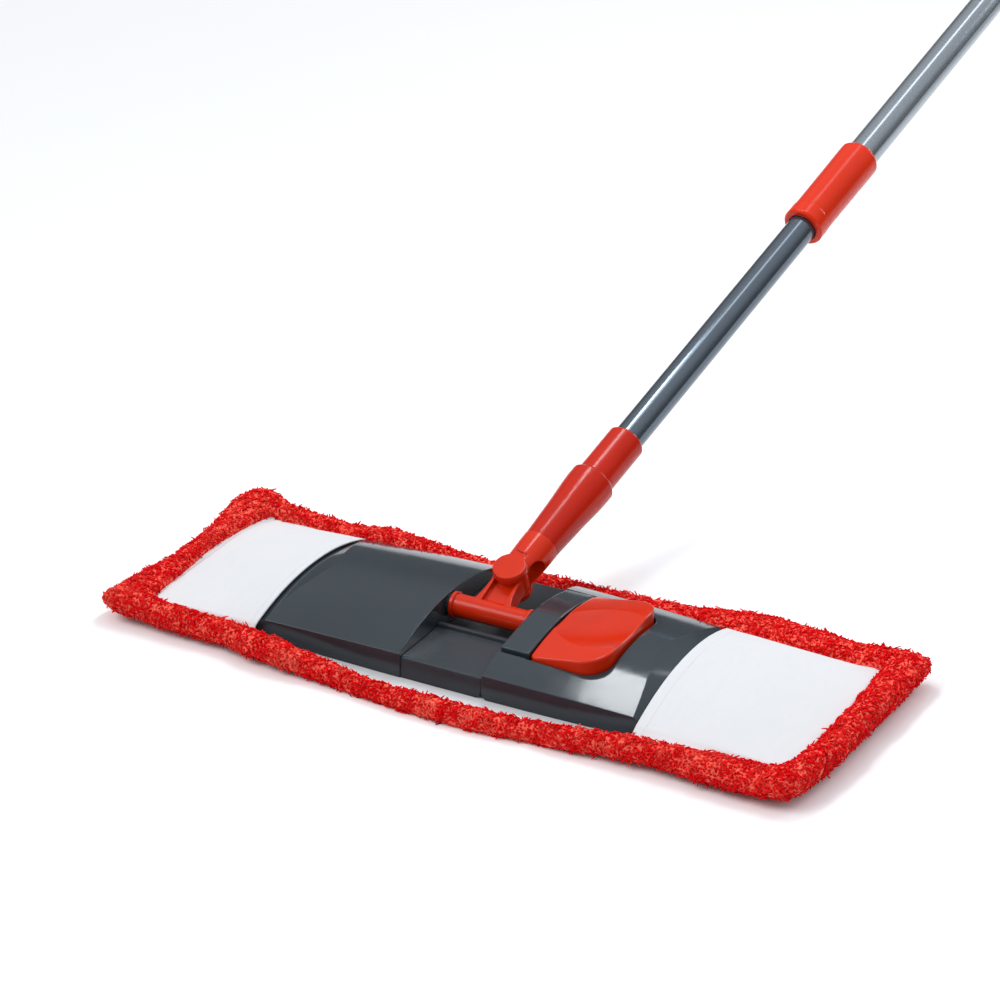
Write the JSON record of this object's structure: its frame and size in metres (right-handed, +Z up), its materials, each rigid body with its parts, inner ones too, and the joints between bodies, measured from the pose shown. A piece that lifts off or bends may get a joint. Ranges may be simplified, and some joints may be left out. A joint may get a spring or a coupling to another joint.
{
  "type": "flat mop",
  "caption": "Flat mop with a folding pocket plate, fringed cloth pad, foot pedal, two-axis joint and telescopic handle.",
  "frame": {"origin": "centre of the pad's sole, on the floor", "axes": "+X along the pad towards the pedal side, +Y towards the side the handle leans to, +Z up"},
  "size_m": [0.466, 1.0942, 0.4247],
  "materials": {
    "pile": "long chenille pile, deep red with lighter tips",
    "cloth": "smooth white woven cloth",
    "plastic_dark": "smooth charcoal injection-moulded plastic",
    "plastic_red": "smooth orange-red injection-moulded plastic",
    "tube_paint": "blue-grey lacquered steel tube",
    "steel": "plain steel",
    "inner_plastic": "unseen inner plastic",
    "grip_rubber": "soft ribbed sleeve"
  },
  "bodies": {
    "plate_left": {"pile_left": "pile", "backing_left": "cloth", "pocket_left": "cloth", "wing_cover_left": "plastic_dark", "wing_base_left": "plastic_dark", "hub_block": "plastic_dark", "axle_bridge": "plastic_dark", "axle_rod": "steel", "fold_pin_front": "steel", "fold_pin_back": "steel", "screw_left_1": "steel", "screw_left_2": "steel", "screw_left_3": "steel"},
    "plate_right": {"pile_right": "pile", "backing_right": "cloth", "pocket_right": "cloth", "wing_cover_right": "plastic_dark", "wing_base_right": "plastic_dark", "pedal_pin": "steel", "pedal_spring": "steel", "screw_right_1": "steel", "screw_right_2": "steel", "screw_right_3": "steel"},
    "pedal_body": {"pedal": "plastic_red"},
    "yoke_body": {"yoke": "plastic_red"},
    "lower_handle": {"swivel_pin": "steel", "swivel_fork": "plastic_red", "handle_socket": "plastic_red", "handle_ferrule": "plastic_red", "lower_tube": "tube_paint", "tube_plug": "inner_plastic"},
    "upper_handle": {"collet": "inner_plastic", "tube_bush": "inner_plastic", "upper_tube": "tube_paint", "grip": "grip_rubber", "hanger_cap": "plastic_red"},
    "lock_body": {"lock_collar": "plastic_red"}
  },
  "joints": [
    {"name": "plate_fold", "type": "hinge", "parent": "plate_left", "child": "plate_right", "pos_m": [0.0155, 0, 0.0075], "axis": [0, 1, 0], "range_deg": [0, 80]},
    {"name": "pedal_press", "type": "hinge", "parent": "plate_right", "child": "pedal_body", "pos_m": [0.056, 0, 0.019], "axis": [0, 1, 0], "range_deg": [0, 6], "stiffness_Nm_per_rad": 3, "springref_deg": -5.73, "deforming": ["pedal_spring"]},
    {"name": "yoke_tilt", "type": "hinge", "parent": "plate_left", "child": "yoke_body", "pos_m": [-0.01, 0, 0.024], "axis": [1, 0, 0], "range_deg": [-1, 126]},
    {"name": "handle_swivel", "type": "hinge", "parent": "yoke_body", "child": "lower_handle", "pos_m": [-0.01, 0.02631, 0.03442], "axis": [0, -0.3681, 0.9298], "range_deg": [-52, 68]},
    {"name": "telescope_slide", "type": "slide", "parent": "lower_handle", "child": "upper_handle", "axis": [0.1409, 0.9205, 0.3645], "range_m": [-0.19, 0.2]},
    {"name": "lock_twist", "type": "hinge", "parent": "upper_handle", "child": "lock_body", "pos_m": [0.04354, 0.3761, 0.17291], "axis": [0.1409, 0.9205, 0.3645], "range_deg": [0, 90]}
  ]
}
